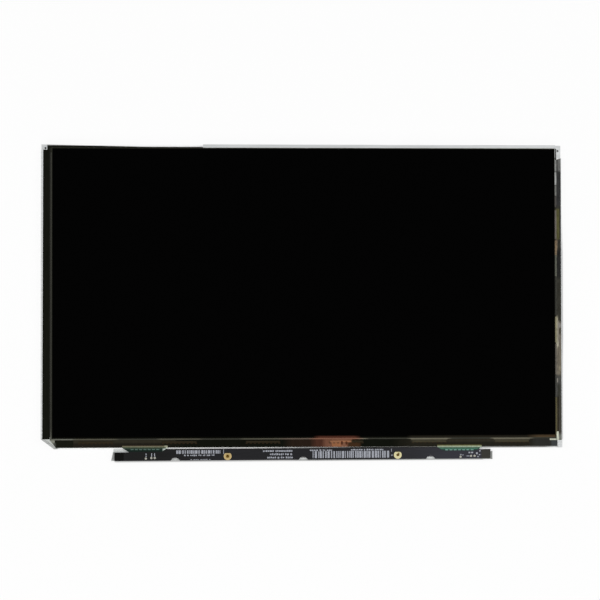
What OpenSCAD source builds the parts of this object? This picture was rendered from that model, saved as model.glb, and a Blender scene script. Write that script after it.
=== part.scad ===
// Slim screen panel of a portable computer, lying on its rear cover.
// The picture side faces +Z and +Y is the picture's top edge. The origin is the
// middle of the rear cover's outline, on its outer face.

/* [Outline] */
// Width over the rear cover
panel_w = 306.3; // [290:0.1:330]
// Height over the rear cover, without the board
panel_h = 178.5; // [168:0.1:200]
// How much of the bottom edge the cut corner takes
corner_cut_x = 7.85; // [7:0.05:9]
// How much of the left edge the cut corner takes
corner_cut_y = 5.85; // [5:0.05:7]
// Bevel of the moulded frame below each ear
ear_bevel = 1.4; // [0.6:0.1:2]
// Radius of the cover's bottom right corner
corner_r = 0.6; // [0.3:0.1:1.2]
// Clearance between pieces that lie side by side
fit = 0.1; // [0.05:0.05:0.15]

/* [Rear cover] */
// Thickness of the formed sheet
sheet_t = 0.3; // [0.2:0.05:0.35]
// Width of the folded rim on the left
rim_l = 1.4; // [0.8:0.1:2]
// Width of the folded rim on the right
rim_r = 0.6; // [0.45:0.05:1]
// Width of the folded rim at the top
rim_top = 1.85; // [1.2:0.05:1.9]
// Height of the double bottom hem
hem_h = 1.2; // [1.2:0.1:1.6]
// Length of the top edge that is set back, from the left edge
step_len = 94.75; // [60:0.25:140]
// Depth of that set back stretch
step_d = 1.55; // [1.2:0.05:1.6]
// Width of the folded tab at the bottom right corner
corner_tab_w = 2.75; // [2:0.05:2.8]
// Length of that tab up the right edge
corner_tab_h = 4.25; // [3:0.25:6]
// Depth that the rear panels are pressed in
press_h = 0.2; // [0.15:0.05:0.3]
// Width of the slope round each pressed panel
press_run = 0.5; // [0.3:0.1:1]
// Plain band between the edge and the pressed panels
press_margin = 12; // [11:0.5:18]
// Width of the ribs between the pressed panels
rib_w = 7; // [5:0.5:12]
// Pressed panels across
press_cols = 4; // [2:2:6]
// Pressed panels up
press_rows = 2; // [2:2:4]

/* [Ears] */
// Width of the left ear
ear_l_w = 3.6; // [3.4:0.05:4]
// Height of the left ear
ear_l_h = 3.3; // [3.2:0.05:4]
// Width of the right ear
ear_r_w = 3.55; // [3.2:0.05:3.7]
// Height of the right ear
ear_r_h = 7.85; // [5:0.05:10]
// Diameter of the hole in each ear
ear_hole_d = 1.2; // [0.8:0.1:1.6]
// Left hole from the left edge
ear_l_hole_x = 2.35; // [2:0.05:2.7]
// Left hole from the top edge
ear_l_hole_y = 2.1; // [1.8:0.05:2.6]
// Right hole from the right edge
ear_r_hole_x = 1.7; // [1.4:0.05:2]
// Right hole from the top edge
ear_r_hole_y = 3.2; // [2:0.05:4]

/* [Glass] */
// Thickness of each glass plate
glass_t = 0.3; // [0.2:0.05:0.4]
// Lower glass plate from the cover's left edge
array_l = 5.45; // [5:0.05:6]
// Lower glass plate from the cover's right edge
array_r = 2.95; // [2.95:0.05:3.2]
// Lower glass plate from the cover's top edge
array_top = 2.05; // [2.05:0.05:2.4]
// Lower glass plate from the cover's bottom edge
array_bottom = 0.8; // [0.8:0.05:1]
// How far the lower plate's cut corner starts past the cover's, along the bottom
glass_cut_dx = 1.1; // [1:0.05:1.5]
// How far the lower plate's cut corner starts below the cover's, along the left
glass_cut_dy = 0.6; // [0.3:0.05:0.8]
// Height of the ledge that the upper plate leaves bare
ledge_h = 4.5; // [4:0.05:6]
// Upper plate inside the lower one on the left
filter_l = 0.25; // [0.1:0.05:0.5]
// Upper plate inside the lower one on the right
filter_r = 0.65; // [0.6:0.05:0.8]
// Front polariser inside the upper plate on the left
polariser_l = 0.6; // [0.3:0.05:1]
// Front polariser inside the upper plate on the right
polariser_r = 0.2; // [0.1:0.05:0.4]
// Front polariser below the upper plate's top edge
polariser_top = 0.4; // [0.2:0.05:0.8]
// Front polariser above the upper plate's bottom edge
polariser_bottom = 0.8; // [0.4:0.05:1]
// Thickness of the front polariser
front_film_t = 0.18; // [0.1:0.01:0.25]
// Thickness of the rear polariser
rear_film_t = 0.15; // [0.12:0.01:0.18]

/* [Backlight] */
// Thickness of the reflector
reflector_t = 0.2; // [0.1:0.05:0.3]
// Thickness of the light guide
guide_t = 0.7; // [0.6:0.05:0.9]
// Thickness of the lower diffuser and of each prism sheet
film_t = 0.2; // [0.12:0.01:0.25]
// Thickness of the upper diffuser
top_film_t = 0.15; // [0.1:0.01:0.2]
// Light guide from the cover's left edge
guide_l = 7.15; // [7:0.05:8]
// Light guide from the cover's right edge
guide_r = 4.65; // [4.6:0.05:5.5]
// Light guide from the cover's top edge
guide_top = 3.85; // [3.8:0.05:4.5]
// Light guide from the cover's bottom edge
guide_bottom = 6.95; // [6.9:0.05:8]
// Sheets inside the light guide's outline
sheet_in = 0.2; // [0.1:0.05:0.3]
// Sheets above the light guide's lower edge
sheet_up = 0.8; // [0.5:0.05:1.2]
// Width of the tabs that locate the sheets
tab_w = 8; // [5:0.5:12]
// Height of those tabs
tab_h = 0.8; // [0.4:0.05:0.9]
// Step between the tabs of one sheet and the next
tab_step = 16; // [14:0.5:20]
// Length of the light guide's side lugs
lug_w = 4; // [3:0.5:8]
// Reach of those lugs
lug_d = 1.2; // [0.8:0.1:1.8]

/* [Light row] */
// Number of diodes
led_count = 46; // [30:1:48]
// Length of a diode
led_w = 3; // [2:0.1:3.8]
// Depth of a diode
led_d = 0.9; // [0.6:0.05:1]
// Height of a diode
led_h = 0.8; // [0.6:0.05:0.85]
// Thickness of the strip circuit
strip_t = 0.12; // [0.08:0.01:0.14]
// Strip circuit from the cover's bottom edge
strip_bottom = 1.05; // [0.9:0.05:1.3]
// Left edge of the tail from the middle of the board, in percent of its half
tail_at = 15.3; // [14:0.1:18]
// Width of the tail
tail_w = 10.6; // [8:0.1:11]

/* [Rim tapes] */
// Thickness of the tape under the glass
rim_tape_t = 0.1; // [0.05:0.01:0.15]
// Thickness of the black tapes on top
tape_t = 0.08; // [0.05:0.01:0.12]
// Left tape from the cover's left edge
tape_l = 1.3; // [0.9:0.05:1.4]
// Width of the left tape
tape_l_w = 3.9; // [3:0.05:4]
// How much wider the left tape is at its foot
tape_l_slant = 0.4; // [0:0.05:0.6]
// Right tape from the cover's right edge
tape_r = 0.35; // [0.3:0.05:0.4]
// Width of the right tape
tape_r_w = 3.15; // [2.8:0.05:3.2]
// Slant at the right tape's upper end
tape_r_slant = 0.9; // [0.4:0.1:2]
// Reach of the top tape above the glass at its left end
tape_top_reach = 1.7; // [1:0.05:2]
// Reach of the top tape at its right end
tape_top_end = 0.5; // [0.4:0.05:0.8]

/* [Drivers and flexes] */
// Number of driver chips on the ledge
driver_count = 6; // [4:1:6]
// Spacing of the driver chips, in percent of the panel's width
driver_share = 15.96; // [14:0.02:16]
// Length of a driver chip
driver_w = 20; // [14:0.5:22]
// Width of a driver chip
driver_d = 1.1; // [0.8:0.05:1.4]
// Height of a driver chip
driver_h = 0.22; // [0.15:0.01:0.28]
// Driver chips below the upper plate's bottom edge
driver_down = 0.8; // [0.6:0.05:1]
// Thickness of the two flexes
flex_t = 0.1; // [0.06:0.01:0.14]
// Left flex: width at the ledge
flex_l_w = 26.5; // [24:0.1:32]
// Right flex: width at the ledge
flex_r_w = 26.3; // [24:0.1:32]
// How much narrower each flex is at the board
flex_taper = 7; // [4:0.25:9]
// Left flex: middle from the board's left end
flex_l_in = 17.85; // [16:0.05:19]
// Right flex: middle from the board's right end
flex_r_in = 18.35; // [17:0.05:20]
// Reach of the flexes onto the ledge
flex_on_glass = 1.15; // [0.8:0.05:1.5]
// Reach of the flexes onto the board
flex_on_board = 1.75; // [1.4:0.05:2.2]

/* [Board] */
// Length of the board
board_w = 220.9; // [214:0.1:236]
// Height of the board
board_h = 6.8; // [6.7:0.05:9]
// Thickness of the board
board_t = 0.8; // [0.6:0.05:1]
// Middle of the board from the middle of the panel
board_x = 0.15; // [-2:0.05:2]
// How far the board's top edge reaches over the cover's hem
board_lap = 0.1; // [-0.1:0.05:0.15]
// Lie of the board against the panel, in degrees
board_tilt = 0.2; // [0:0.05:0.25]
// Length of the lower left end
end_l_w = 8.3; // [6:0.1:10]
// Drop of the lower left end
end_l_drop = 1.8; // [1:0.05:2.2]
// Length of the lower right end
end_r_w = 6.6; // [5:0.1:9]
// Drop of the lower right end
end_r_drop = 1.4; // [1:0.05:2]
// Outer round notches from the middle of the board, in percent of its half
notch_at = 67.9; // [66:0.1:70]
// Radius of the notches
notch_r = 2.9; // [2.4:0.05:3]
// Depth of the notches
notch_d = 1.75; // [1.2:0.05:1.8]
// Left hole from the middle of the board, in percent of its half
hole_l_at = 40.1; // [39.5:0.1:42]
// Right hole from the middle of the board, in percent of its half
hole_r_at = 50.4; // [49.5:0.1:51]
// Holes above the board's bottom edge
hole_up = 2.4; // [2.35:0.05:2.6]
// Diameter of the two holes
hole_d = 1.6; // [1.2:0.1:2]
// Diameter of the gold rings round the holes
ring_d = 4.6; // [4:0.05:4.65]
// Thickness of the gold rings and pads
plating_t = 0.05; // [0.03:0.01:0.08]
// Diameter of the round test pads
pad_d = 1.3; // [0.8:0.05:1.4]
// Thickness of the film behind the board
backing_t = 0.1; // [0.05:0.01:0.15]
// Film past the board's left end
backing_l = 0.4; // [0.3:0.05:2]
// Film past the board's right end
backing_r = 1.3; // [0.3:0.05:2]
// Lean of the film's left end
backing_lean = 1.6; // [0:0.1:2.5]
// How far the film shows below the board in its right half
backing_down = 0.5; // [0.2:0.05:0.8]

/* [Sockets] */
// Contacts in the signal socket
contact_count = 30; // [20:2:40]
// Spacing of those contacts
contact_pitch = 0.5; // [0.4:0.05:0.5]
// Depth of the signal socket
socket_d = 4.2; // [3.8:0.1:4.4]
// Height of the signal socket
socket_h = 1.05; // [0.9:0.05:1.15]
// Middle of the signal socket, left of the board's middle, in percent of its half
socket_at = 18.1; // [17:0.1:19]
// Wall of the signal socket
socket_wall = 0.25; // [0.2:0.05:0.3]
// Sheet of its steel shell
shell_t = 0.1; // [0.08:0.01:0.12]
// Depth of the light socket
light_socket_d = 3.2; // [2.8:0.1:3.6]
// Height of the light socket
light_socket_h = 1.1; // [1:0.05:1.2]

/* [Board parts] */
// Length of the timing controller
controller_w = 6.4; // [5:0.1:7]
// Depth of the timing controller with its leads
controller_d = 4.8; // [4:0.1:5]
// Height of the timing controller
controller_h = 0.85; // [0.6:0.05:0.95]
// Length of the backlight driver
driver_ic_w = 4; // [3:0.1:5]
// Length of the memory chip
memory_w = 4.6; // [4:0.1:5]
// Length of each power chip
power_ic_w = 3.2; // [2.8:0.1:3.6]
// Depth of those chips with their leads
small_ic_d = 4.2; // [3.4:0.1:4.6]
// Height of those chips
small_ic_h = 0.8; // [0.6:0.05:0.9]
// Width of a lead
lead_w = 0.22; // [0.18:0.01:0.26]
// Reach of a lead
lead_l = 0.5; // [0.4:0.05:0.6]
// Height of a lead
lead_t = 0.18; // [0.12:0.01:0.24]
// Side of the large coil
coil_w = 3.4; // [2.8:0.1:3.8]
// Side of the two small coils
small_coil_w = 2.8; // [2.4:0.1:3]
// Height of the coils
coil_h = 1.1; // [0.9:0.05:1.15]
// Length of a capacitor along the board
cap_w = 0.7; // [0.5:0.05:0.8]
// Depth of a capacitor
cap_d = 1.3; // [1:0.05:1.5]
// Height of a capacitor
cap_h = 0.6; // [0.4:0.05:0.7]
// Length of a resistor along the board
res_w = 0.5; // [0.4:0.05:0.6]
// Depth of a resistor
res_d = 1; // [0.8:0.05:1.1]
// Height of a resistor
res_h = 0.35; // [0.25:0.05:0.45]
// Length of a diode package along the board
diode_w = 1.5; // [1.2:0.1:1.6]
// Depth of a diode package
diode_d = 2.7; // [2.4:0.1:2.9]
// Height of a diode package
diode_h = 0.95; // [0.8:0.05:1.1]
// Top of the upper row of parts below the board's top edge
row_down = 1.1; // [0.8:0.05:1.2]
// Spacing of the parts in a row
row_pitch = 1.3; // [1.1:0.05:1.4]

/* [Rear label] */
// Width of the plain label
label_w = 46; // [30:1:56]
// Height of the plain label
label_h = 30; // [20:1:50]
// Thickness of the plain label
label_t = 0.08; // [0.05:0.01:0.1]

/* [Hidden] */
$fn = 48;
left = -panel_w / 2;
right = panel_w / 2;
bottom = -panel_h / 2;
top = panel_h / 2;
cut_len = norm([corner_cut_x, corner_cut_y]);
hem_t = 2 * sheet_t;
step_x = left + step_len;

// Levels of the layers, from the rear cover to the front polariser
field_z = sheet_t + press_h;
guide_z = field_z + reflector_t;
film_z = guide_z + guide_t;
film_top = film_z + 3 * film_t + top_film_t;
roof_z = film_z + fit;
ledge_z = film_top + rear_film_t - rim_tape_t + fit / 2;
array_z = ledge_z + rim_tape_t;
filter_z = array_z + glass_t;
screen_z = filter_z + glass_t;
rim_z = filter_z + fit - sheet_t;
wall_top = filter_z + fit;

// Plates of the display
array_x0 = left + array_l;
array_x1 = right - array_r;
array_y0 = bottom + array_bottom;
array_y1 = top - array_top;
glass_cut_x = corner_cut_x + glass_cut_dx - array_l;
glass_cut_y = corner_cut_y - glass_cut_dy - array_bottom;
filter_x0 = array_x0 + filter_l;
filter_x1 = array_x1 - filter_r;
filter_y0 = array_y0 + ledge_h;
rim_cut = (corner_cut_y * glass_cut_dx + corner_cut_x * array_bottom) / cut_len - fit;

// Light guide and sheets
guide_x0 = left + guide_l;
guide_x1 = right - guide_r;
guide_y0 = bottom + guide_bottom;
guide_y1 = top - guide_top;
window_in = 0.45;
window_x0 = guide_x0 + window_in;
window_x1 = guide_x1 - window_in;
window_y0 = guide_y0 + sheet_up + window_in;
window_y1 = guide_y1 - window_in;
tab_left = -0.33 * panel_w;
tab_right = 0.2 * panel_w;

// Strip circuit and its tail
strip_lap = 0.7;
led_y1 = guide_y0 - fit;
led_y0 = led_y1 - led_d;
strip_y0 = bottom + strip_bottom;
strip_y1 = guide_y0 + strip_lap;
strip_z1 = sheet_t + strip_t;

// Board: its own frame has the middle of its top edge at the origin
board_y = bottom + board_lap;
backing_z = hem_h + fit;
board_z = backing_z + backing_t;
board_z1 = board_z + board_t;
hole_y = hole_up - board_h;
hole_x = [-along(hole_l_at), along(hole_r_at)];
notch_x = [-along(notch_at), 0, along(notch_at)];
backing_up = 0.05;
backing_run = 10;
tail_x = board_x + along(tail_at);
tail_gap = 3 * fit;
tail_rise = 0.42;
light_socket_x = tail_x + tail_w / 2 - board_x;
light_socket_y = -1.2;
light_slot_d = 2;
tail_end = board_y + light_socket_y - light_slot_d + tail_gap;
socket_x = -along(socket_at);
socket_side = 2.5;
socket_w = contact_count * contact_pitch + 2 * socket_side;
socket_in = 0.2;
socket_y = socket_in - board_h;
contact_w = 0.24;
contact_l = 2;
contact_y = socket_y + socket_d - 1.6;
controller_x = along(7);
second_row = row_down + 2.4;
window_up = 1;
window_down = 0.6;

// A place along the board, given in percent of its half
function along(share) = share * board_w / 200;

// The board's bottom edge at a place across the panel
function board_foot(x) = board_y - board_h + (x - board_x) * tan(board_tilt);

// A box from one corner to the opposite one, t thick from z up
module slab(x0, y0, x1, y1, z, t) {
    translate([x0, y0, z])
        cube([x1 - x0, y1 - y0, t]);
}

// A plate of the given outline, t thick from z up
module plate(points, z, t) {
    translate([0, 0, z])
        linear_extrude(t)
            polygon(points);
}

// A section drawn in Y and Z, run along X
module run_x(points, x0, x1) {
    translate([x0, 0, 0])
        rotate([90, 0, 90])
            linear_extrude(x1 - x0)
                polygon(points);
}

// A section drawn in X and Z, run along Y
module run_y(points, y0, y1) {
    translate([0, y1, 0])
        rotate([90, 0, 0])
            linear_extrude(y1 - y0)
                polygon(points);
}

// Where a line lying c inside the cover's cut corner meets the height b above
// the bottom edge, and the distance l inside the left edge
function cut_low(c, b) =
    left + corner_cut_x + (c * cut_len - corner_cut_x * b) / corner_cut_y;
function cut_high(c, l) =
    bottom + corner_cut_y + (c * cut_len - corner_cut_y * l) / corner_cut_x;

// The lower glass plate's outline, grown outward by d
function array_outline(d) =
    let (
        len = norm([glass_cut_x, glass_cut_y]),
        high = array_y0 + glass_cut_y - d * (len - glass_cut_y) / glass_cut_x,
        low = array_x0 + glass_cut_x - d * (len - glass_cut_x) / glass_cut_y
    )
    [
        [array_x0 - d, high],
        [low, array_y0 - d],
        [array_x1 + d, array_y0 - d],
        [array_x1 + d, array_y1 + d],
        [array_x0 - d, array_y1 + d]
    ];

// A low block with four equally sloping sides
module sloped_block(x0, y0, x1, y1, z, h, run) {
    intersection() {
        run_y([[x0 - run, z], [x1 + run, z], [x1, z + h], [x0, z + h]], y0 - run, y1 + run);
        run_x([[y0 - run, z], [y1 + run, z], [y1, z + h], [y0, z + h]], x0 - run, x1 + run);
    }
}

// The pressed panels, as the solid between the plain band and their floor
module pressed_panels(z) {
    w = (panel_w - 2 * press_margin - (press_cols - 1) * rib_w) / press_cols;
    h = (panel_h - 2 * press_margin - (press_rows - 1) * rib_w) / press_rows;
    for (i = [0 : press_cols - 1], j = [0 : press_rows - 1]) {
        x = left + press_margin + i * (w + rib_w);
        y = bottom + press_margin + j * (h + rib_w);
        sloped_block(x, y, x + w, y + h, z, press_h, press_run);
    }
}

// The strip along the cut corner, from its edge to c inside it
function cut_strip(c) = [
    [left, bottom + corner_cut_y],
    [left + corner_cut_x, bottom],
    [cut_low(c, 0), bottom],
    [left, cut_high(c, 0)]
];

module cover_plate() {
    plate([
        [left, bottom + corner_cut_y],
        [left + corner_cut_x, bottom],
        [right, bottom],
        [right, top],
        [step_x, top],
        [step_x, top - step_d],
        [left, top - step_d]
    ], 0, sheet_t);
    slab(left, top - ear_l_h, left + ear_l_w, top, 0, sheet_t);
}

module cover_walls() {
    slab(left, bottom + corner_cut_y, left + sheet_t, top - ear_l_h, 0, wall_top);
    plate(cut_strip(sheet_t), 0, wall_top);
    slab(left + corner_cut_x, bottom, right, bottom + hem_t, 0, hem_h);
    slab(right - sheet_t, bottom, right, top - ear_r_h, 0, wall_top);
    slab(step_x, top - sheet_t, right - ear_r_w, top, 0, wall_top);
    slab(step_x, top - step_d - sheet_t, step_x + sheet_t, top, 0, wall_top);
    slab(left + ear_l_w, top - step_d - sheet_t, step_x + sheet_t, top - step_d, 0, wall_top);
}

module cover_rims() {
    slab(left, bottom + corner_cut_y, left + rim_l, top - ear_l_h, rim_z, sheet_t);
    plate(cut_strip(rim_cut), rim_z, sheet_t);
    slab(right - rim_r, bottom, right, top - ear_r_h, rim_z, sheet_t);
    slab(right - corner_tab_w, bottom, right, bottom + corner_tab_h, rim_z, sheet_t);
    slab(step_x, top - rim_top, right - ear_r_w, top, rim_z, sheet_t);
}

// What a round corner takes off the square one at the bottom right
module corner_waste() {
    translate([right - corner_r, bottom + corner_r, -1])
        difference() {
            translate([0, -corner_r - 1, 0])
                cube([corner_r + 1, corner_r + 1, wall_top + 2]);
            cylinder(h = wall_top + 2, r = corner_r);
        }
}

module rear_cover() {
    color([0.77, 0.78, 0.78])
        difference() {
            union() {
                cover_plate();
                cover_walls();
                cover_rims();
                pressed_panels(sheet_t);
            }
            pressed_panels(0);
            corner_waste();
            translate([left + ear_l_hole_x, top - ear_l_hole_y, -1])
                cylinder(h = sheet_t + 2, d = ear_hole_d);
            translate([right - ear_r_hole_x, top - ear_r_hole_y, -1])
                cylinder(h = sheet_t + 2, d = ear_hole_d);
            // slot in the hem for the tail of the strip circuit
            slab(tail_x - tail_gap, bottom - 1, tail_x + tail_w + tail_gap, bottom + hem_t + 1,
                sheet_t, strip_t + tail_gap);
        }
}

// Places of the two tabs of sheet k, where 0 is the lowest
function tab_places(k) = [tab_left + k * tab_step, tab_right + k * tab_step];

module frame_walls() {
    side = sheet_t + fit;
    difference() {
        plate(frame_outline(), ledge_z, wall_top - ledge_z);
        plate(array_outline(fit), ledge_z - 1, wall_top);
        // nothing stands below the ledge glass, nor above the set back stretch
        slab(array_x0 + glass_cut_x, bottom, array_x1 + fit, array_y0, ledge_z - 1, wall_top);
        slab(array_x0 - fit, array_y1, step_x + side, top, ledge_z - 1, wall_top);
        // room for the cover's folded rims
        translate([0, 0, rim_z - fit]) {
            slab(left, bottom, left + rim_l + fit, top, 0, wall_top);
            slab(right - rim_r - fit, bottom, right, top, 0, wall_top);
            slab(right - corner_tab_w - fit, bottom, right, bottom + corner_tab_h + fit, 0, wall_top);
            slab(step_x, top - rim_top - fit, right, top, 0, wall_top);
            plate([[left, bottom], [cut_low(rim_cut + fit, 0), bottom], [left, cut_high(rim_cut + fit, 0)]],
                0, wall_top);
        }
    }
}

function frame_outline() =
    let (side = sheet_t + fit, low = hem_t + fit)
    [
        [left + side, cut_high(side, side)],
        [cut_low(side, low), bottom + low],
        [right - side, bottom + low],
        [right - side, top - side],
        [step_x + side, top - side],
        [step_x + side, top - step_d - side],
        [left + side, top - step_d - side]
    ];

// The opening over an ear at the top left, w wide and h high, bevelled at its foot
module ear_opening(w, h) {
    foot = sheet_t + fit + ear_bevel;
    plate([
        [left, top],
        [left, top - h - foot],
        [left + foot, top - h],
        [left + w, top - h],
        [left + w, top]
    ], 0, wall_top + 1);
}

module panel_frame() {
    color([0.93, 0.93, 0.91])
        difference() {
            union() {
                plate(frame_outline(), sheet_t, ledge_z - sheet_t);
                frame_walls();
            }
            // openings for the light guide with its diodes, and for the sheets
            slab(guide_x0 - fit, led_y0 - fit, guide_x1 + fit, guide_y1 + fit, 0, roof_z);
            slab(guide_x0 + sheet_in - fit, guide_y0 + sheet_up - fit,
                guide_x1 - sheet_in + fit, guide_y1 - sheet_in + fit, 0, ledge_z + 1);
            // pockets for the side lugs and the sheet tabs
            slab(guide_x0 - lug_d - fit, -lug_w / 2 - fit, guide_x1 + lug_d + fit, lug_w / 2 + fit,
                0, roof_z);
            for (k = [0 : 3], x = tab_places(k))
                slab(x - tab_w / 2 - fit, guide_y1 - sheet_in - 1, x + tab_w / 2 + fit,
                    guide_y1 - sheet_in + tab_h + fit, film_z - fit, ledge_z);
            // channels for the strip circuit and its tail
            slab(guide_x0 - fit, strip_y0 - fit, guide_x1 + fit, guide_y0, 0, strip_z1 + fit);
            slab(tail_x - tail_gap, bottom, tail_x + tail_w + tail_gap, guide_y0, 0, strip_z1 + fit);
            // corners left open over the cover's ears
            ear_opening(ear_l_w + fit, ear_l_h + fit);
            mirror([1, 0, 0])
                ear_opening(ear_r_w + fit, ear_r_h + fit);
        }
}

module reflector_sheet() {
    color([0.95, 0.95, 0.95])
        slab(guide_x0, guide_y0, guide_x1, guide_y1, field_z, reflector_t);
}

module light_guide() {
    color([0.85, 0.9, 0.92])
        union() {
            slab(guide_x0, guide_y0, guide_x1, guide_y1, guide_z, guide_t);
            slab(guide_x0 - lug_d, -lug_w / 2, guide_x1 + lug_d, lug_w / 2, guide_z, guide_t);
        }
}

// Sheet k of the stack on the light guide, with its two tabs
module optical_sheet(k, t) {
    z = film_z + k * film_t;
    y1 = guide_y1 - sheet_in;
    slab(guide_x0 + sheet_in, guide_y0 + sheet_up, guide_x1 - sheet_in, y1, z, t);
    for (x = tab_places(k))
        slab(x - tab_w / 2, y1 - 1, x + tab_w / 2, y1 + tab_h, z, t);
}

module lower_diffuser() {
    color([0.96, 0.96, 0.95])
        optical_sheet(0, film_t);
}

module prism_sheet_lower() {
    color([0.9, 0.93, 0.94])
        optical_sheet(1, film_t);
}

module prism_sheet_upper() {
    color([0.9, 0.93, 0.94])
        optical_sheet(2, film_t);
}

module upper_diffuser() {
    color([0.97, 0.97, 0.96])
        optical_sheet(3, top_film_t);
}

// The strip lies on the cover; its tail leaves through the hem and climbs to
// the socket on the board's rear
module led_flex() {
    z0 = sheet_t;
    z1 = strip_z1;
    out = bottom - 0.25;
    up = board_y + light_socket_y + 0.25;
    color([0.72, 0.45, 0.16])
        union() {
            slab(guide_x0 + 1, strip_y0, guide_x1 - 1, strip_y1, z0, strip_t);
            run_x([
                [strip_y0 + 1, z0],
                [out, z0],
                [up, z0 + tail_rise],
                [tail_end, z0 + tail_rise],
                [tail_end, z1 + tail_rise],
                [up, z1 + tail_rise],
                [out, z1],
                [strip_y0 + 1, z1]
            ], tail_x, tail_x + tail_w);
        }
}

// Each diode has a shallow window on the side that faces the light guide
module backlight_leds() {
    end = 2;
    pitch = (guide_x1 - guide_x0 - 2 * end) / led_count;
    wall = 0.15;
    color([0.95, 0.93, 0.8])
        for (i = [0 : led_count - 1])
            translate([guide_x0 + end + (i + 0.5) * pitch - led_w / 2, led_y0, strip_z1])
                difference() {
                    cube([led_w, led_d, led_h]);
                    translate([2 * wall, led_d - wall, wall])
                        cube([led_w - 4 * wall, 1, led_h - 2 * wall]);
                }
}

// A ring on the frame's ledge that also holds the edge of the sheets
module rim_tape() {
    in = 0.2;
    side = right - ear_r_w - 3 * fit;
    color([0.06, 0.06, 0.06])
        difference() {
            plate([
                [array_x0 + in, array_y0 + glass_cut_y + in],
                [array_x0 + glass_cut_x + in, array_y0 + in],
                [side, array_y0 + in],
                [side, array_y1 - in],
                [array_x0 + in, array_y1 - in]
            ], ledge_z, rim_tape_t);
            slab(window_x0, window_y0, window_x1, window_y1, ledge_z - 1, 2);
        }
}

module rear_polariser() {
    color([0.15, 0.16, 0.18])
        slab(window_x0 + fit, window_y0 + fit, window_x1 - fit, window_y1 - fit,
            array_z - rear_film_t, rear_film_t);
}

module array_glass() {
    color([0.16, 0.16, 0.14])
        plate(array_outline(0), array_z, glass_t);
}

module filter_glass() {
    color([0.1, 0.11, 0.11])
        slab(filter_x0, filter_y0, filter_x1, array_y1, filter_z, glass_t);
}

module front_polariser() {
    color([0.01, 0.01, 0.01])
        slab(filter_x0 + polariser_l, filter_y0 + polariser_bottom, filter_x1 - polariser_r,
            array_y1 - polariser_top, screen_z, front_film_t);
}

module source_drivers() {
    mid = (filter_x0 + filter_x1) / 2;
    color([0.1, 0.1, 0.09])
        for (i = [0 : driver_count - 1])
            translate([
                mid + (i - (driver_count - 1) / 2) * driver_share * panel_w / 100 - driver_w / 2,
                filter_y0 - driver_down - driver_d,
                filter_z
            ])
                cube([driver_w, driver_d, driver_h]);
}

// The left tape runs up beside the ear to meet the top tape
module left_edge_tape() {
    x0 = left + tape_l;
    x1 = x0 + tape_l_w;
    color([0.09, 0.09, 0.06])
        union() {
            plate([
                [x0 - tape_l_slant, bottom + corner_cut_y],
                [x1, bottom + corner_cut_y],
                [x1, top - ear_l_h],
                [x0, top - ear_l_h]
            ], wall_top, tape_t);
            slab(left + ear_l_w + fit, top - ear_l_h - 1, x1, array_y1, wall_top, tape_t);
        }
}

module right_edge_tape() {
    x1 = right - tape_r;
    x0 = x1 - tape_r_w;
    y0 = bottom + corner_tab_h + fit;
    y1 = top - ear_r_h;
    color([0.25, 0.25, 0.23])
        plate([[x0, y0], [x1, y0], [x1, y1], [x0, y1 - tape_r_slant]], wall_top, tape_t);
}

// The free edge of the top tape stands out past the cover at its left end
module top_edge_tape() {
    x0 = left + ear_l_w + fit;
    y = array_y1 + fit / 2;
    color([0.07, 0.07, 0.07])
        plate([
            [x0, y],
            [step_x - fit, y],
            [step_x - fit, y + tape_top_end],
            [x0 + 0.6 * step_len, y + tape_top_end],
            [x0, y + tape_top_reach]
        ], wall_top, tape_t);
}

// A flex lies on the ledge, dips over the hem and lies on the board
module board_flex(x, w) {
    y_glass = array_y0 + flex_on_glass;
    y_bend = array_y0 - 0.15;
    y_land = board_y - 0.75;
    y_board = board_y - flex_on_board;
    intersection() {
        run_x([
            [y_glass, filter_z],
            [y_bend, filter_z],
            [y_land, board_z1],
            [y_board, board_z1],
            [y_board, board_z1 + flex_t],
            [y_land, board_z1 + flex_t],
            [y_bend, filter_z + flex_t],
            [y_glass, filter_z + flex_t]
        ], x - w / 2, x + w / 2);
        plate([
            [x - w / 2, y_glass],
            [x - w / 2, y_bend],
            [x - (w - flex_taper) / 2, y_board],
            [x + (w - flex_taper) / 2, y_board],
            [x + w / 2, y_bend],
            [x + w / 2, y_glass]
        ], 0, wall_top + 1);
    }
}

module flex_left() {
    color([0.25, 0.36, 0.3])
        board_flex(board_x - board_w / 2 + flex_l_in, flex_l_w);
}

module flex_right() {
    color([0.25, 0.36, 0.3])
        board_flex(board_x + board_w / 2 - flex_r_in, flex_r_w);
}

// Places the board's own frame in the panel
module on_board() {
    translate([board_x, board_y, 0])
        rotate([0, 0, board_tilt])
            children();
}

// A box on the board's rear face: middle x, upper edge y, width, depth, height
module on_rear(x, y, w, d, h) {
    translate([x - w / 2, y - d, board_z - h])
        cube([w, d, h]);
}

module control_board() {
    e = board_w / 2;
    color([0.13, 0.13, 0.13])
        on_board()
            difference() {
                plate([
                    [-e, -board_h],
                    [e, -board_h],
                    [e, -end_r_drop],
                    [e - end_r_w, -end_r_drop],
                    [e - end_r_w, 0],
                    [-e + end_l_w, 0],
                    [-e + end_l_w, -end_l_drop],
                    [-e, -end_l_drop]
                ], board_z, board_t);
                for (x = notch_x)
                    translate([x, -board_h - notch_r + notch_d, board_z - 1])
                        cylinder(h = board_t + 2, r = notch_r);
                for (x = hole_x)
                    translate([x, hole_y, board_z - 1])
                        cylinder(h = board_t + 2, d = hole_d);
            }
}

// Flat rings round both holes, on the front and on the rear
module hole_rings() {
    color([0.8, 0.7, 0.42])
        on_board()
            for (x = hole_x, z = [board_z - plating_t, board_z1])
                translate([x, hole_y, z])
                    difference() {
                        cylinder(h = plating_t, d = ring_d);
                        translate([0, 0, -1])
                            cylinder(h = plating_t + 2, d = hole_d);
                    }
}

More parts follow.
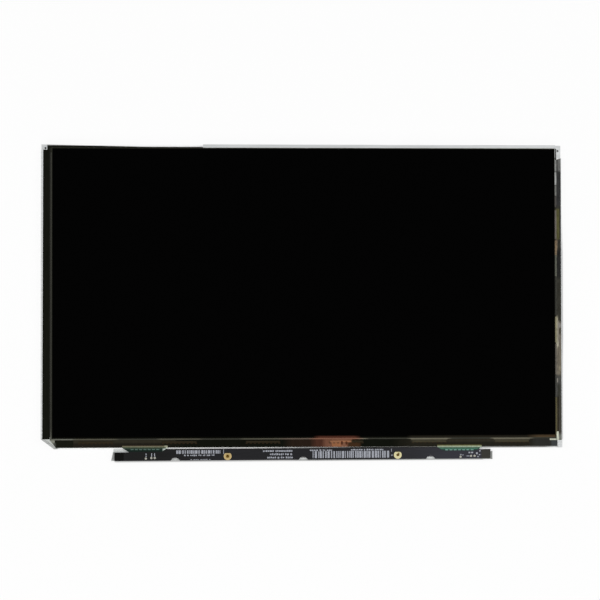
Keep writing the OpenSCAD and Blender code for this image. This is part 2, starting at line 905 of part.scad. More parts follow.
// The film holds the board to the cover: it is stuck to the board's rear face
// and folds down the outside of the hem, with windows for the parts
module board_film() {
    x0 = board_x - board_w / 2 - backing_l;
    x1 = board_x + board_w / 2 + backing_r;
    color([0.82, 0.83, 0.82])
        difference() {
            union() {
                plate([
                    [x0 - backing_lean, board_foot(x0) + backing_up],
                    [board_x - backing_run, board_foot(board_x - backing_run) + backing_up],
                    [board_x, board_foot(board_x) - backing_down],
                    [x1, board_foot(x1) - backing_down],
                    [x1, bottom],
                    [x0, bottom]
                ], backing_z, backing_t);
                slab(x0, bottom - backing_t, x1, bottom, sheet_t, board_z - sheet_t);
            }
            on_board() {
                for (w = rear_windows())
                    translate([w[0], -board_h + window_up, 0])
                        cube([w[1] - w[0], board_h - window_up - window_down, board_z + 1]);
                // opening for the signal socket, open to the film's lower edge
                translate([socket_x - socket_w / 2 - window_down, -board_h - 1, 0])
                    cube([socket_w + 2 * window_down, board_h + 1 - window_down, board_z + 1]);
                for (x = hole_x)
                    translate([x, hole_y, 0])
                        cylinder(h = board_z + 1, d = ring_d + 4 * fit);
            }
            slab(tail_x - tail_gap - fit, bottom - 2, tail_x + tail_w + tail_gap + fit, bottom + 1,
                0, strip_z1 + tail_gap + 2 * fit);
        }
}

// Left and right end of each window in the film
function rear_windows() = [
    [-along(87), -along(45)],
    [-along(33), along(44.5)],
    [along(56), along(90)]
];

module connector_housing() {
    side = 1.6;
    back = 1.2;
    color([0.85, 0.82, 0.72])
        on_board()
            difference() {
                on_rear(socket_x, socket_y + socket_d, socket_w, socket_d, socket_h - shell_t);
                // mouth that takes the plug, open to the board's bottom edge
                translate([
                    socket_x - socket_w / 2 + side,
                    socket_y - 1,
                    board_z - socket_h + shell_t + socket_wall
                ])
                    cube([socket_w - 2 * side, socket_d + 1 - back, socket_h - shell_t - 2 * socket_wall]);
                // slots for the contacts
                for (i = [0 : contact_count - 1])
                    translate([contact_place(i) - contact_w / 2, contact_y, board_z - socket_wall])
                        cube([contact_w, contact_l, 1]);
            }
}

function contact_place(i) = socket_x + (i - (contact_count - 1) / 2) * contact_pitch;

// Pressed steel over the housing, folded down at both ends
module connector_shell() {
    back = 0.8;
    latch_in = 2.6;
    latch_w = 1.2;
    latch_d = 0.9;
    color([0.7, 0.71, 0.72])
        on_board()
            difference() {
                on_rear(socket_x, socket_y + socket_d - back, socket_w + 2 * shell_t, socket_d - back, socket_h);
                on_rear(socket_x, socket_y + socket_d, socket_w, socket_d + 1, socket_h - shell_t);
                // two windows where the plug latches
                for (s = [-1, 1])
                    translate([
                        socket_x + s * (socket_w / 2 - latch_in) - latch_w / 2,
                        socket_y + 1,
                        board_z - socket_h - 1
                    ])
                        cube([latch_w, latch_d, 1 + shell_t + fit / 2]);
            }
}

module connector_contacts() {
    t = 0.15;
    side = 0.02;
    color([0.83, 0.72, 0.4])
        on_board()
            for (i = [0 : contact_count - 1])
                translate([contact_place(i) - contact_w / 2 + side, contact_y, board_z - t])
                    cube([contact_w - 2 * side, contact_l + 0.1, t]);
}

// Low socket open towards the panel, with a slot that the tail slides into
module led_connector() {
    w = tail_w + 3;
    slot_z = sheet_t + tail_rise - fit;
    color([0.9, 0.88, 0.8])
        on_board()
            difference() {
                on_rear(light_socket_x, light_socket_y, w, light_socket_d, light_socket_h);
                translate([light_socket_x - tail_w / 2 - tail_gap, light_socket_y - light_slot_d, slot_z])
                    cube([tail_w + 2 * tail_gap, light_slot_d + 1, strip_t + 2 * fit]);
            }
}

// A flat package with a row of n short leads along two sides
module leaded_chip(x, y, w, d, h, n) {
    on_rear(x, y - lead_l, w, d - 2 * lead_l, h);
    for (i = [0 : n - 1], edge = [y, y - d + 1.2 * lead_l])
        on_rear(x - w / 2 + (i + 0.5) * w / n, edge, lead_w, 1.2 * lead_l, lead_t);
}

module timing_controller() {
    color([0.1, 0.1, 0.1])
        on_board()
            leaded_chip(controller_x, -row_down + 0.3, controller_w, controller_d, controller_h, 14);
}

module backlight_driver() {
    color([0.1, 0.1, 0.1])
        on_board()
            leaded_chip(along(34), -row_down, driver_ic_w, small_ic_d, small_ic_h, 8);
}

module power_chips() {
    color([0.1, 0.1, 0.1])
        on_board()
            for (x = [-along(60), -along(52)])
                leaded_chip(x, -row_down, power_ic_w, small_ic_d, small_ic_h, 5);
}

module memory_chip() {
    color([0.1, 0.1, 0.1])
        on_board()
            leaded_chip(-along(78), -row_down, memory_w, small_ic_d, small_ic_h, 4);
}

// A shielded coil: a square body with a round cover
module coil(x, y, s, h) {
    body = 0.6;
    cover = 0.86;
    on_rear(x, y, s, s, h * body);
    translate([x, y - s / 2, board_z - h])
        cylinder(h = h, d = s * cover);
}

module inductors() {
    color([0.25, 0.24, 0.23])
        on_board() {
            coil(along(39), -row_down, coil_w, coil_h);
            coil(-along(66), -row_down - 0.2, small_coil_w, coil_h);
            coil(-along(47.5), -row_down - 0.2, small_coil_w, coil_h);
        }
}

// A row of n small parts from x on, with its upper edge at y: width, depth, height
module chip_row(x, n, pitch, y, w, d, h) {
    for (i = [0 : n - 1])
        on_rear(x + i * pitch, y, w, d, h);
}

module capacitors() {
    beside = controller_x - controller_w / 2 - cap_w - 3 * row_pitch;
    color([0.6, 0.48, 0.34])
        on_board() {
            for (y = [-row_down, -second_row])
                chip_row(beside, 4, row_pitch, y, cap_w, cap_d, cap_h);
            chip_row(along(42), 2, row_pitch, -row_down, cap_w, cap_d, cap_h);
            chip_row(-along(84), 3, row_pitch, -row_down, cap_w, cap_d, cap_h);
            chip_row(along(60), 8, row_pitch, -row_down, cap_w, cap_d, cap_h);
            chip_row(along(78), 7, row_pitch, -row_down, cap_w, cap_d, cap_h);
        }
}

module resistors() {
    beside = controller_x + controller_w / 2 + 2 * res_w;
    color([0.14, 0.14, 0.15])
        on_board() {
            for (y = [-row_down, -second_row])
                chip_row(beside, 2, 2 * res_w, y, res_w, res_d, res_h);
            chip_row(-along(84), 3, row_pitch, -second_row, res_w, res_d, res_h);
            chip_row(-along(73), 4, row_pitch, -row_down, res_w, res_d, res_h);
            chip_row(along(60), 9, row_pitch, -second_row, res_w, res_d, res_h);
            chip_row(along(78), 8, row_pitch, -second_row, res_w, res_d, res_h);
        }
}

module diodes() {
    color([0.12, 0.12, 0.12])
        on_board() {
            on_rear(along(30), -row_down, diode_w, diode_d, diode_h);
            on_rear(-along(56), -row_down, diode_w, diode_d, diode_h);
        }
}

// Bare round pads on the front: percent of half the board, height above its bottom
module test_pads() {
    color([0.78, 0.72, 0.5])
        on_board()
            for (p = [[-83.4, 1.4], [-80.5, 1.7], [-78.7, 1.7], [84, 1.05], [89.6, 1.5], [91.5, 1.5]])
                translate([along(p[0]), p[1] - board_h, board_z1])
                    cylinder(h = plating_t, d = pad_d);
}

// A plain label in one of the pressed panels
module rear_label() {
    x = left + press_margin + (panel_w - 2 * press_margin - (press_cols - 1) * rib_w) / (2 * press_cols);
    y = top - press_margin - (panel_h - 2 * press_margin - (press_rows - 1) * rib_w) / (2 * press_rows);
    color([0.93, 0.93, 0.92])
        slab(x - label_w / 2, y - label_h / 2, x + label_w / 2, y + label_h / 2,
            press_h - label_t, label_t);
}

rear_cover();
panel_frame();
reflector_sheet();
light_guide();
lower_diffuser();
prism_sheet_lower();
prism_sheet_upper();
upper_diffuser();
led_flex();
backlight_leds();
rim_tape();
rear_polariser();
array_glass();
filter_glass();
front_polariser();
source_drivers();
left_edge_tape();
right_edge_tape();
top_edge_tape();
flex_left();
flex_right();
control_board();
hole_rings();
board_film();
connector_housing();
connector_shell();
connector_contacts();
led_connector();
timing_controller();
backlight_driver();
power_chips();
memory_chip();
inductors();
capacitors();
resistors();
diodes();
test_pads();
rear_label();
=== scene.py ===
"""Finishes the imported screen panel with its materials, its print and its studio."""

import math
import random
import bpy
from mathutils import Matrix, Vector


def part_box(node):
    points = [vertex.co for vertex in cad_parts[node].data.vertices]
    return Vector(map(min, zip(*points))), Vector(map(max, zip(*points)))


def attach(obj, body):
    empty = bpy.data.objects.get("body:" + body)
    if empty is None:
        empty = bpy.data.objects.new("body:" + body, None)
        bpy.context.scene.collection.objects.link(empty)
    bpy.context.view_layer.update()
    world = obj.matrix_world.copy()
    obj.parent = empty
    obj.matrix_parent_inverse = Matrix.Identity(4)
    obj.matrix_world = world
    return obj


bl_info = {
    "name": "Screen panel",
    "version": (1, 0, 0),
    "blender": (4, 5, 0),
    "location": "3D View > Sidebar > Screen panel",
    "description": "Dresses the packed laptop screen panel and lights it",
    "category": "Object",
}

import bmesh
import bpy
from mathutils import Matrix, Vector

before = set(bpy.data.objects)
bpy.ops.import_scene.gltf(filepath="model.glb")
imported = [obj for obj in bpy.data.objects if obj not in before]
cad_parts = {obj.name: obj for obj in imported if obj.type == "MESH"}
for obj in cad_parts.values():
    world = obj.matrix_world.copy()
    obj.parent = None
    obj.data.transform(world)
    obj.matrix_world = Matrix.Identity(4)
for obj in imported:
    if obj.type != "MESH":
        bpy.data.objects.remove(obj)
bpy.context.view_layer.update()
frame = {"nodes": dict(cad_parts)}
MM = 0.001

# The lengths below are in millimetres, unless they say otherwise.

# the chips on the ledge: how many there are, and how wide each is
DRIVERS, DRIVER_W = 6, 20.0

# marks on the ledge: how many stand on each side of a driver's middle, how far below the driver,
# and their width, height and thickness
MARKS_ASIDE, MARK_DROP, MARK_W, MARK_H, MARK_T = 4, 0.32, 1.3, 0.4, 0.012

# the generic print: how wide its bars are, and the gaps between bars and between dashes, all
# picked at random
BAR_WIDTHS = (0.45, 0.7, 0.9, 1.3)
BAR_GAPS = (0.35, 0.5, 0.75)
DASH_GAPS = (0.25, 0.3, 0.3, 0.9)

# the board's gold rings: their radius, how far the left one stands from the board's middle, and
# how far both stand below its top edge
RING_R, RING_ASIDE, RING_DROP = 2.3, 44.29, 4.4

# spans along X: where the floor is dim below the board's foot, and where the board has its full
# height
FOOT_SPAN, BOARD_SPAN = (-110, 106), (-106, 94)

# the floor: half its side in metres, how far it lies below the panel, and how much of what the
# eye sees of it is plain white
FLOOR_HALF, FLOOR_DROP, FLOOR_WHITE = 3.0, 0.1, 0.85

# the soft lamps: where they hang and how long their sides are, in metres
LAMP_PLACES = ((-1.15, 0.35, 0.95), (1.15, 0.25, 0.95), (0.0, -1.2, 0.9))
LAMP_SIDE = 0.9

# width of the camera's film
SENSOR_W = 36.0


def linear(code):
    """Turns an sRGB hex colour into linear red, green and blue, with alpha 1."""
    parts = [int(code[i:i + 2], 16) / 255 for i in (0, 2, 4)]
    light = [c / 12.92 if c <= 0.04045 else ((c + 0.055) / 1.055) ** 2.4 for c in parts]
    return (*light, 1.0)


def colour(name, description, code):
    """A colour setting with its default as a hex code."""
    return bpy.props.FloatVectorProperty(
        name=name, description=description, subtype="COLOR", size=4, min=0.0, max=1.0,
        default=linear(code),
    )


def length(name, description, millimetres):
    """A length setting, shown in the scene's units."""
    return bpy.props.FloatProperty(
        name=name, description=description, default=millimetres * MM, min=0.0,
        unit="LENGTH", precision=5,
    )


class PanelColours(bpy.types.PropertyGroup):
    """Colours of the visible finishes."""

    steel: colour("Cover steel", "Rolled sheet of the rear cover", "D0D2D2")
    frame: colour("Frame", "Moulded white frame", "ECECE8")
    screen: colour("Screen", "Front polariser", "020202")
    glass: colour("Glass edge", "Border of the upper glass plate", "2C2C24")
    ledge: colour("Ledge", "Lower glass plate where the upper one leaves it bare", "0D0F09")
    # a painted highlight on the bare glass edge at the lower right corner
    glass_edge_highlight: colour("Clear glass", "Corner of the glass with nothing behind it", "BCC0AF")
    tape: colour("Black tape", "Tapes on the left and at the top", "11120C")
    # the right tape's black, painted grey with reflections
    tape_grey_reflections: colour("Scuffed tape", "Tape on the right", "32312B")
    board: colour("Board", "Black solder mask", "1E1E1E")
    film: colour("Board film", "Pale film behind the board", "CDD0CF")
    flex: colour("Flex", "Green cover film of the two flexes", "15221D")
    gold: colour("Gold", "Plated rings and contacts", "D6BD86")
    tin: colour("Tin", "Plated test pads", "B2B1A7")
    ink: colour("Print", "White ink on the board", "9A9DA5")
    amber: colour("Amber film", "Polyimide of the strip circuit", "B97428")


class PrintSizes(bpy.types.PropertyGroup):
    """Sizes of the generic print and of the marks on the ledge."""

    ink_height: length("Ink height", "How far the ink stands off the board", 0.015)
    mark_pitch: length("Mark pitch", "Spacing of the marks below each driver", 2.4)
    tooth_pitch: length("Tooth pitch", "Spacing of the pale teeth on the flexes", 2.5)
    seed: bpy.props.IntProperty(
        name="Seed", description="Start of the random widths in the generic print",
        default=7, min=0,
    )


class StudioSettings(bpy.types.PropertyGroup):
    """Camera, lamps and floor."""

    camera_place: bpy.props.FloatVectorProperty(
        name="Camera place", description="Where the camera stands", unit="LENGTH",
        default=(-0.03753, -0.01961, 1.0),
    )
    camera_turn: bpy.props.FloatVectorProperty(
        name="Camera turn", description="The camera's turn about X, Y and Z", subtype="EULER",
        default=(math.radians(1.003), math.radians(-2.063), math.radians(-0.089)),
    )
    lens: bpy.props.FloatProperty(
        name="Lens", description="Focal length in millimetres on a 36 mm sensor",
        default=101.92, min=1.0,
    )
    lamp_power: bpy.props.FloatProperty(
        name="Lamp power", description="Power of each soft lamp in watts", default=7.0, min=0.0,
    )
    sky: bpy.props.FloatProperty(
        name="Sky", description="Strength of the plain light from all round", default=0.5, min=0.0,
    )
    floor: colour("Floor", "Plain pale floor", "F4F4F4")


def settings():
    """The three groups of settings."""
    scene = bpy.context.scene
    return scene.panel_colours, scene.panel_print, scene.panel_studio


# How a finish is put together ------------------------------------------------

def add(tree, kind, inputs=None, **options):
    """Adds a node, with its options set and its inputs filled or linked.

    An input is named, or counted where its name isn't the only one: the two colours of a Mix
    node are inputs 6 and 7, and the factor of a vector's scaling is input 3.
    """
    node = tree.nodes.new("ShaderNode" + kind)
    for name, value in options.items():
        setattr(node, name, value)
    for key, value in (inputs or {}).items():
        if isinstance(value, bpy.types.NodeSocket):
            tree.links.new(value, node.inputs[key])
        else:
            node.inputs[key].default_value = value
    return node


def in_millimetres(tree):
    """Where a point lies on the object, in millimetres."""
    here = add(tree, "TexCoord").outputs["Object"]
    return add(tree, "VectorMath", {0: here, 3: 1 / MM}, operation="SCALE").outputs[0]


def start(name, base, roughness, **sockets):
    """Starts a material whose even values sit on the shader's own sockets."""
    material = bpy.data.materials.new(name)
    material.use_nodes = True
    tree = material.node_tree
    shader = tree.nodes["Principled BSDF"]
    shader.inputs["Base Color"].default_value = base
    shader.inputs["Roughness"].default_value = roughness
    for key, value in sockets.items():
        shader.inputs[key.replace("_", " ")].default_value = value
    return material, tree, shader, in_millimetres(tree)


def lay_patches(tree, place, shown, patches):
    """Lays patches of colour over what is shown.

    A patch is its colour (a hex code or a setting's value), its span along X, its span along Y
    and how far its edge fades, in millimetres. A span of None leaves that axis free. The fade is
    one length, or one for X and one for Y.
    """
    axes = add(tree, "SeparateXYZ", {0: place})
    for code, x, y, fades in patches:
        mask = None
        pair = fades if isinstance(fades, tuple) else (fades, fades)
        for axis, (span, fade) in enumerate(zip((x, y), pair)):
            if span is None:
                continue
            middle, half = (span[0] + span[1]) / 2, (span[1] - span[0]) / 2
            away = add(tree, "Math", {0: axes.outputs[axis], 1: middle}, operation="SUBTRACT")
            away = add(tree, "Math", {0: away.outputs[0]}, operation="ABSOLUTE")
            part = add(tree, "MapRange", {
                0: away.outputs[0], 1: half, 2: half + fade, 3: 1.0, 4: 0.0}).outputs[0]
            if mask is not None:
                part = add(tree, "Math", {0: mask, 1: part}, operation="MULTIPLY").outputs[0]
            mask = part
        value = linear(code) if isinstance(code, str) else code
        shown = add(tree, "Mix", {0: mask, 6: shown, 7: value}, data_type="RGBA").outputs[2]
    return shown


def weather(tree, shader, place, shown, size, stretch=(1, 1, 1), drift=0.1, rough=None, depth=0.0):
    """Gives a surface its grain: colour, roughness and relief that follow one noise.

    The grain has that size in millimetres, drawn out by stretch. Its colour drifts by that share,
    its roughness runs between the two given, and its relief has that depth in millimetres.
    """
    scale = [1 / (size * s) for s in stretch]
    laid = add(tree, "Mapping", {"Vector": place, "Scale": scale}).outputs[0]
    grain = add(tree, "TexNoise", {"Vector": laid, "Scale": 1.0, "Detail": 3.0}).outputs[0]
    level = add(tree, "MapRange", {
        0: grain, 1: 0.25, 2: 0.75, 3: 1 - drift, 4: 1 + drift}).outputs[0]
    toned = add(tree, "Mix", {0: 1.0, 6: shown, 7: level}, data_type="RGBA", blend_type="MULTIPLY")
    tree.links.new(toned.outputs[2], shader.inputs["Base Color"])
    if rough:
        span = add(tree, "MapRange", {0: grain, 1: 0.3, 2: 0.7, 3: rough[0], 4: rough[1]})
        tree.links.new(span.outputs[0], shader.inputs["Roughness"])
    if depth:
        relief = add(tree, "Bump", {"Strength": 0.3, "Distance": depth * MM, "Height": grain})
        tree.links.new(relief.outputs[0], shader.inputs["Normal"])


def wear(names, material):
    """Gives the material to the named CAD nodes."""
    for name in names:
        for slot in frame["nodes"][name].material_slots:
            slot.material = material


def edges(node):
    """The left, right, lower and upper edge of a CAD node, in millimetres."""
    low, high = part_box(node)
    return low.x / MM, high.x / MM, low.y / MM, high.y / MM


def reflected_line(left, right):
    """Painted reflections in stretches down the right edge's light line, between those two places.
    """
    return [(code, (left, right), (low, high), (0.1, 0.6)) for code, low, high in (
        ("AFB0AE", 82, 88), ("8E8F8C", 74, 81), ("ACADAB", 66, 73), ("7A7A76", 59.5, 65),
        ("55524E", 53, 58.5), ("6E6862", 34, 50.5), ("87755D", 24.5, 32.5), ("62645A", 12, 24),
        ("3A3A35", -11, 11), ("8F8A70", -27, -12.5), ("6A655C", -46, -28.5),
        ("4A4A46", -59.5, -46.5), ("5C563D", -82, -60))]


def driver_middles():
    """The middle of each driver chip along X, in millimetres."""
    left, right, _, _ = edges("source_drivers")
    step = (right - left - DRIVER_W) / (DRIVERS - 1)
    return [left + DRIVER_W / 2 + i * step for i in range(DRIVERS)]


# Finishes -------------------------------------------------------------------

def galvanised_steel(base):
    """Zinc-plated sheet, rolled, pressed and folded: satin, with faint rolling lines along X."""
    material, tree, shader, place = start("galvanised_steel_rolled", base, 0.44, Metallic=1.0)
    left, right, foot, _ = edges("rear_cover")
    hem = (foot - 1, edges("array_glass")[2] + 0.2)
    shown = lay_patches(tree, place, base, (
        # painted light and shade on the hem: brighter on the left, darker past its middle
        ("FFFFFF", (left, -20), hem, (20, 0.2)),
        ("5A5A58", (36, 92), hem, (40, 0.2)),
        ("8A8A88", (100, right - 10), hem, (6, 0.2)),
        ("D2D4D4", (right - 2.8, right + 1), (foot - 1, foot + 12), 0.5),
        # the fold at the cut corner is painted darker
        ("B4B6B4", (left - 1, left + 9), (foot - 1, foot + 5.5), 1.5),
    ))
    # rolling lines of 0.2 mm, drawn 0.5 mm wide so that they show
    weather(tree, shader, place, shown, 0.5, (60, 1, 1), 0.06, (0.4, 0.5), 0.01)
    return material


def moulded_polycarbonate(name, base, grain=0.4, patches=()):
    """White polycarbonate, moulded with a fine spark-eroded grain: soft sheen, no gloss."""
    material, tree, shader, place = start(name, base, 0.5, Specular_IOR_Level=0.4)
    shown = lay_patches(tree, place, base, patches)
    weather(tree, shader, place, shown, grain, (1, 1, 1), 0.02, (0.44, 0.56), 0.01)
    return material


def hard_coated_polariser(base):
    """Polariser film with an anti-glare hard coat: dead black, with a haze only at a low angle."""
    material, tree, shader, place = start(
        "polariser_hard_coated", base, 0.24, IOR=1.49, Specular_IOR_Level=0.01)
    left, right, foot, _ = edges("front_polariser")
    # light creeps in along the lower edge: most at the tail's opening, some on the right
    shown = lay_patches(tree, place, base, (
        ("0C0C08", (left, right), (foot - 1, foot + 0.4), 0.8),
        ("24211A", (64, right), (foot - 1, foot + 0.4), (3, 1.2)),
        ("4A3C2B", (139, right), (foot - 1, foot + 0.6), (7, 1.2)),
        ("4E2D22", (10, 30), (foot - 1, foot + 0.5), (4, 1.0)),
        ("24241F", (left - 1, left + 0.3), None, 0.2),
        ("1C1C18", (right - 0.3, right + 1), None, 0.2),
    ))
    # painted reflections down the polariser's right edge
    shown = lay_patches(tree, place, shown, reflected_line(right - 0.1, right + 1))
    # anti-glare grit of 0.02 mm, drawn 0.2 mm so that it shows
    weather(tree, shader, place, shown, 0.2, (1, 1, 1), 0.1, (0.2, 0.28), 0.003)
    return material


def upper_glass(base):
    """Display glass over a black mask: only its border shows, lit at the drivers and the tail."""
    material, tree, shader, place = start(
        "display_glass_black_mask", base, 0.12, Specular_IOR_Level=0.04)
    left, right, foot, top = edges("filter_glass")
    border = (foot - 1, foot + 0.82)
    patches = [
        ("40403A", (left - 1, left + 0.62), (foot, top - 3), 0.05),
        ("373730", (left, right), border, 0.05),
        ("66675E", (left, left + 12), border, 6),
    ]
    half = DRIVER_W / 2
    for i, x in enumerate(driver_middles()):
        if i < DRIVERS / 2:
            patches.append(("504E43", (x - half - 1, x + half + 1), border, 3))
        else:
            seen = (foot - 1, foot + 0.45)
            patches.append(("716D5E", (x - half - 0.5, x + half + 0.5), seen, (3, 0.1)))
    patches += [
        ("5E5349", (-10, 8), border, 5),
        ("7C5645", (8, 31), border, 5),
    ]
    # with painted reflections down the glass's right edge
    shown = lay_patches(tree, place, base, patches + reflected_line(right - 0.3, right + 1))
    weather(tree, shader, place, shown, 1.2, (4, 1, 1), 0.08, (0.08, 0.16))
    return material


def ledge_glass(base, clear):
    """Display glass with metal tracks and a dark mask: near black, warm over the amber tail."""
    material, tree, shader, place = start(
        "display_glass_tracks", base, 0.12, Specular_IOR_Level=0.03)
    left, right, foot, _ = edges("array_glass")
    shelf = edges("filter_glass")[2]
    patches = [
        # painted light: the ledge is paler towards both ends, and most just below the upper plate
        ("1F1C16", (left, -88), None, 20),
        ("211F18", (66, right), None, 14),
        ("2C2920", (left, -75), (shelf - 1.3, shelf), 1.0),
        ("2E2B22", (64, 132), (shelf - 1.3, shelf), 1.0),
        ("2B2B28", (138, right), None, 5),
        ("15160F", (left + 1, -134.5), None, 0.7),
        # the amber strip circuit shows through the clear stretch over its tail
        ("241A13", (-6, 8), None, 6),
        ("44291F", (8, 15), None, 4),
        ("6A4737", (13.5, 18), None, 2.5),
        ("7A5440", (17.2, 28.5), (foot - 1, shelf), 0.8),
        ("8E5E40", (17.5, 22.0), (foot + 0.6, shelf - 1.2), 0.6),
        ("3C2819", (27.0, 33), (foot - 1, shelf - 1.6), 1.6),
    ]
    # two dark pads on the strip circuit
    patches += [("52291A", (x - 0.4, x + 0.4), (foot + 1.4, foot + 2.6), 0.25)
                for x in (22.9, 25.6)]
    # the seal below the upper plate shines over the right drivers
    half = DRIVER_W / 2 + 0.5
    patches += [("5A5749", (x - half, x + half), (shelf - 0.4, shelf), 0.3)
                for x in driver_middles()[4:]]
    patches += [
        # the mask stops short of both lower corners
        ("84857A", (left - 1, left + 2.6), (foot - 1, shelf), 0.1),
        ("4A4B45", (left + 1.6, left + 2.7), (foot - 1, foot + 2.4), 1.0),
        ("3A3D3E", (right - 3.4, right + 1), (foot - 1, shelf - 1.0), 0.3),
        # the bare glass corner at the right carries the painted highlight
        (clear, (right - 4.4, right + 1), (shelf - 0.9, shelf), 0.1),
    ]
    shown = lay_patches(tree, place, base, patches)
    # tracks fan out across the ledge every 0.1 mm, drawn every 0.5 mm
    weather(tree, shader, place, shown, 0.5, (1, 8, 1), 0.16, (0.08, 0.2), 0.003)
    return material


def clear_sheet(name, base, roughness, groove=12.0, depth=0.0):
    """Acrylic or polyester sheet of the backlight, milky or finely grooved."""
    material, tree, shader, place = start(name, base, roughness, IOR=1.49)
    # prism grooves of 0.05 mm are drawn at the width given
    weather(tree, shader, place, base, groove, (40 if depth else 1, 1, 1), 0.03, None, depth)
    return material


def polyester_tape(base):
    """Black polyester tape: low sheen, with faint pressed creases and dust."""
    material, tree, shader, place = start(
        "polyester_tape_black", base, 0.38, Specular_IOR_Level=0.03)
    left, _, _, top = edges("top_edge_tape")
    # the cut edge at the top is lighter grey near the left corner
    shown = lay_patches(tree, place, base, (
        ("6E6E6C", (left, left + 30), (top - 0.5, top), (14, 0.25)),
    ))
    weather(tree, shader, place, shown, 0.8, (1, 12, 1), 0.22, (0.32, 0.46), 0.012)
    return material


def reflecting_tape(base, clear):
    """The right tape: black polyester, with painted reflections beside the glass and in stretches.
    """
    material, tree, shader, place = start(
        "polyester_tape_painted_reflections", base, 0.4, Specular_IOR_Level=0.03)
    left, right, foot, top = edges("right_edge_tape")
    # painted reflections, in stretches from the upper end down
    shown = lay_patches(tree, place, base, (
        ("4C4C4A", (left, right), (74, top), (0.1, 2)),
        ("6A6A68", (right - 1.3, right), (74, top), (0.3, 2)),
        ("303030", (left, right), (54, 73), (0.1, 2)),
        ("4E4C30", (left, left + 2.1), (34, 51), (0.3, 1)),
        ("66594A", (left, left + 1.0), (24.5, 32.5), (0.3, 2)),
        ("232322", (left + 0.9, right), (12, 26), (0.3, 3)),
        ("6A6458", (left, right), (-46, -29), (0.1, 2)),
        ("464643", (left, right), (-58, -48), (0.1, 2)),
        # the lightest stretch of painted reflection, uneven in places
        ("928E7A", (left, left + 1.0), (-29, -13.6), (0.5, 2.5)),
        ("8C8878", (left + 0.8, left + 1.7), (-29, -15.4), (0.5, 1.5)),
        ("69635A", (left + 1.6, right), (-29, -16.2), (0.4, 1.5)),
        ("7A7671", (left + 1.6, right), (-18.6, -16.6), (0.4, 1.0)),
        ("4C483E", (left + 1.9, right), (-22.0, -19.4), (0.3, 1.2)),
        ("A09C8A", (left + 0.6, left + 1.2), (-29.0, -27.6), (0.5, 0.8)),
        ("787260", (left + 2.0, left + 2.4), (-43.4, -41.8), (0.4, 0.8)),
        ("8E8A80", (left, left + 0.9), (-50.4, -49.0), (0.3, 0.8)),
        ("363630", (left + 1.0, left + 2.2), (-62, -53), (0.4, 2)),
        ("29251C", (left + 0.85, left + 1.5), (foot, -60), (0.15, 1)),
        ("3E3C36", (left + 1.6, right), (foot, -60), (0.15, 1)),
    ))
    # painted reflections in the light line along the tape's left edge
    shown = lay_patches(tree, place, shown, reflected_line(left - 1, left + 0.45))
    shown = lay_patches(tree, place, shown, (
        # the clear edge of the glass catches the light at the lower corner
        ("74766F", (left + 1.4, right), (foot - 1, foot + 2.5), (0.2, 2.0)),
        (clear, (left + 0.25, left + 1.3), (foot - 1, foot + 5.0), 0.15),
    ))
    weather(tree, shader, place, shown, 0.8, (1, 3, 1), 0.35, (0.34, 0.5), 0.012)
    return material


def solder_mask(base):
    """Fibreglass board under black solder mask: smooth, low gloss, with faint buried tracks."""
    material, tree, shader, place = start(
        "fibreglass_black_mask", base, 0.34, Specular_IOR_Level=0.04)
    left, right, _, _ = edges("control_board")
    # the mask looks lighter towards the right, and differs on both stepped ends
    shown = lay_patches(tree, place, base, (
        ("242426", (-62, right), None, 20),
        ("2D2D30", (62, right), None, 30),
        ("34343A", (84, right), None, 20),
        ("0F0F0E", (left - 1, left + 5.4), None, 0.1),
        ("383733", (right - 5.3, right + 1), None, 0.1),
    ))
    # buried tracks of 0.15 mm, drawn 0.4 mm wide
    weather(tree, shader, place, shown, 0.4, (20, 1, 1), 0.12, (0.3, 0.4), 0.01)
    return material


def green_flex(name, node, base, bands, teeth, pitch, patches=()):
    """Polyimide circuit under green cover film, its tinned ends bare at the glass."""
    material, tree, shader, place = start(name, base, 0.3, Specular_IOR_Level=0.04)
    left, right, _, top = edges(node)
    # bands from the glass down: glue line, tinned ends, then film
    shown = lay_patches(tree, place, base, [
        (code, None, (top - lower, top - upper), 0.06) for code, upper, lower in bands])
    code, upper, lower = teeth
    middle = (left + right) / 2
    count = round((right - left - 8) / pitch)
    ends = [middle + (i - (count - 1) / 2) * pitch for i in range(count)]
    shown = lay_patches(tree, place, shown, [
        (code, (x - 0.3 * pitch, x + 0.3 * pitch), (top - lower, top - upper), 0.2) for x in ends])
    shown = lay_patches(tree, place, shown, patches)
    # copper tracks of 0.1 mm under the film, drawn 0.5 mm wide
    weather(tree, shader, place, shown, 0.5, (1, 12, 1), 0.2, (0.24, 0.36))
    return material


def silicon_die(base):
    """Bare silicon, ground on its back: dark, slightly brown, smooth."""
    material, tree, shader, place = start("silicon_ground", base, 0.2, Specular_IOR_Level=0.06)
    _, right, foot, top = edges("source_drivers")
    shown = lay_patches(tree, place, base, (
        ("3F3B2D", (60, right), None, 10),
        # the amber strip circuit lights the die beside its tail
        ("8E6246", (16.5, 27.8), None, 1.2),
        ("52291A", (22.5, 23.3), (foot - 1, top - 0.4), 0.2),
        ("6A3D26", (25.2, 26.0), (foot - 1, top - 0.4), 0.2),
    ))
    weather(tree, shader, place, shown, 0.3, (10, 1, 1), 0.2, (0.15, 0.28))
    return material


def plated(name, base, roughness, patches=()):
    """Gold, tin or copper, electroplated: a soft metallic shine."""
    material, tree, shader, place = start(name, base, roughness, Metallic=1.0)
    shown = lay_patches(tree, place, base, patches)
    rough = (roughness - 0.05, roughness + 0.08)
    weather(tree, shader, place, shown, 0.25, (1, 1, 1), 0.08, rough)
    return material


